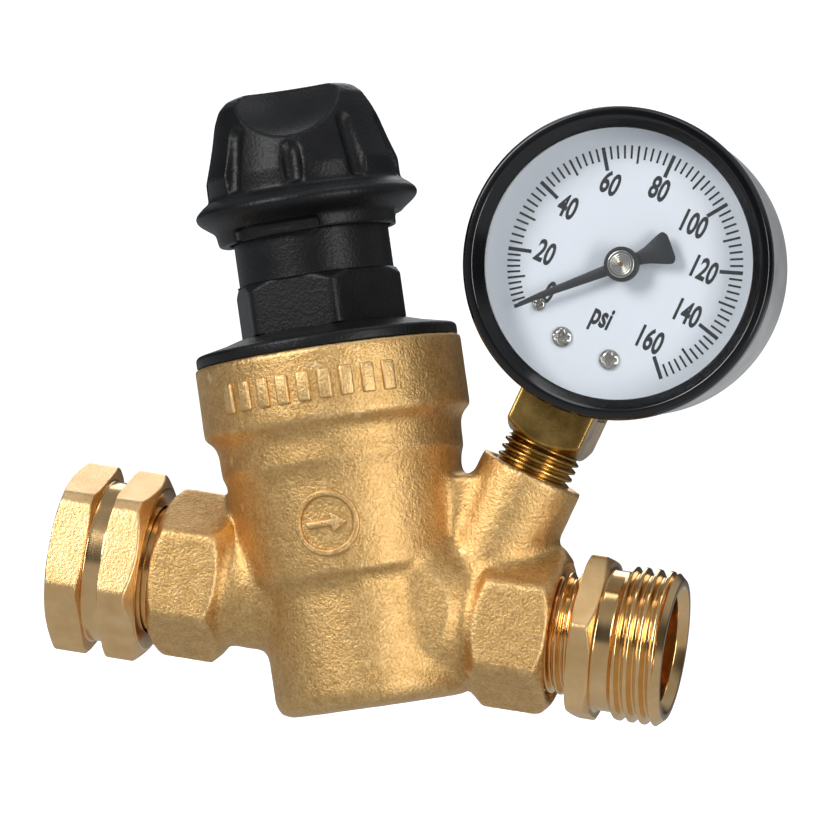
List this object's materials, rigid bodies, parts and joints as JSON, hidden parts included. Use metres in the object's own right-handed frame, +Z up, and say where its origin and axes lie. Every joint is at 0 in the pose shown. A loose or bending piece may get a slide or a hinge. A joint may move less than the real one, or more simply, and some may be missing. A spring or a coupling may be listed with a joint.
{
  "type": "pressure reducing valve",
  "caption": "Adjustable brass pressure reducing valve with a slanted barrel, black knob, dial gauge, swivel hose nut at the inlet and threaded hose outlet.",
  "frame": {"origin": "centre of the swivel nut's mouth, where the supply hose screws in", "axes": "+X along the flow from the inlet to the outlet, +Z up, -Y the front with the dial"},
  "size_m": [0.1185, 0.0474, 0.1136],
  "materials": {
    "cast_brass": "sand cast, bead blasted",
    "polished_brass": "turned and polished",
    "bright_brass": "machined",
    "black_nylon": "moulded",
    "black_bezel": "moulded",
    "steel_case": "drawn and plated",
    "stainless": "turned",
    "spring_steel": "wound",
    "black_rubber": "moulded",
    "washer_rubber": "moulded",
    "clear_window": "clear",
    "white_dial": "painted",
    "black_pointer": "painted"
  },
  "bodies": {
    "valve": {"valve_body": "cast_brass", "seat_ring": "bright_brass", "balance_sleeve": "bright_brass", "sleeve_o_ring": "black_rubber", "diaphragm": "black_rubber", "slip_ring": "black_nylon", "bonnet": "black_nylon", "inlet_tailpiece": "polished_brass", "hose_washer": "washer_rubber", "filter_screen": "stainless", "outlet_nipple": "polished_brass", "gauge_socket": "polished_brass", "bourdon_tube": "bright_brass", "gauge_case": "steel_case", "gauge_bezel": "black_bezel", "gauge_window": "clear_window", "window_gasket": "black_rubber", "gauge_dial": "white_dial", "dial_screws": "stainless", "stop_screw": "stainless", "movement_front_plate": "bright_brass", "movement_rear_plate": "bright_brass", "movement_pillars": "bright_brass", "movement_screws": "stainless", "hairspring": "spring_steel"},
    "stem": {"stem": "bright_brass", "balance_o_ring": "black_rubber", "seat_disc": "black_rubber", "disc_holder": "bright_brass", "disc_nut": "bright_brass", "diaphragm_washer": "stainless", "diaphragm_plate": "stainless", "stem_nut": "bright_brass"},
    "spring_nut": {"spring_nut": "bright_brass", "main_spring": "spring_steel"},
    "knob": {"adjusting_knob": "black_nylon", "adjusting_spindle": "bright_brass", "knob_screw": "stainless"},
    "swivel_nut": {"swivel_nut": "polished_brass"},
    "sector": {"sector_gear": "bright_brass"},
    "pointer": {"pinion_shaft": "bright_brass", "pointer": "black_pointer", "pointer_hub": "black_pointer", "pointer_cap": "stainless"},
    "link": {"link": "bright_brass"},
    "tube_tip": {"tube_tip": "bright_brass"}
  },
  "joints": [
    {"name": "knob_turn", "type": "hinge", "parent": "valve", "child": "knob", "pos_m": [0.0536, 0, 0], "axis": [-0.2924, 0, 0.9563], "range_deg": [-720, 720]},
    {"name": "spring_nut_slide", "type": "slide", "parent": "valve", "child": "spring_nut", "axis": [-0.2924, 0, 0.9563], "range_m": [-0.004, 0.004], "deforming": ["main_spring"]},
    {"name": "stem_slide", "type": "slide", "parent": "valve", "child": "stem", "axis": [-0.2924, 0, 0.9563], "range_m": [0, 0.0015], "stiffness_N_per_m": 12000, "deforming": ["main_spring", "diaphragm"]},
    {"name": "swivel_nut_turn", "type": "hinge", "parent": "valve", "child": "swivel_nut", "pos_m": [0.008, 0, 0], "axis": [1, 0, 0], "continuous": true},
    {"name": "sector_swing", "type": "hinge", "parent": "valve", "child": "sector", "pos_m": [0.08826, 0, 0.05382], "axis": [0, 1, 0], "range_deg": [-33.8, 0]},
    {"name": "pointer_turn", "type": "hinge", "parent": "valve", "child": "pointer", "pos_m": [0.09155, 0, 0.06457], "axis": [0, 1, 0], "range_deg": [0, 270.4], "deforming": ["hairspring"]},
    {"name": "link_swing", "type": "hinge", "parent": "sector", "child": "link", "pos_m": [0.09494, 0, 0.05041], "axis": [0, 1, 0], "range_deg": [0, 45]},
    {"name": "tube_tip_slide", "type": "slide", "parent": "valve", "child": "tube_tip", "axis": [0.5377, 0, 0.8432], "range_m": [0, 0.00374], "stiffness_N_per_m": 500, "deforming": ["bourdon_tube"]}
  ],
  "couplings": [
    {"joint": "knob_turn", "follows": "spring_nut_slide", "rad_per_m": 3141.6},
    {"joint": "sector_swing", "follows": "tube_tip_slide", "rad_per_m": -157.67},
    {"joint": "pointer_turn", "follows": "tube_tip_slide", "rad_per_m": 1261.3},
    {"joint": "link_swing", "follows": "tube_tip_slide", "rad_per_m": 209.54}
  ]
}
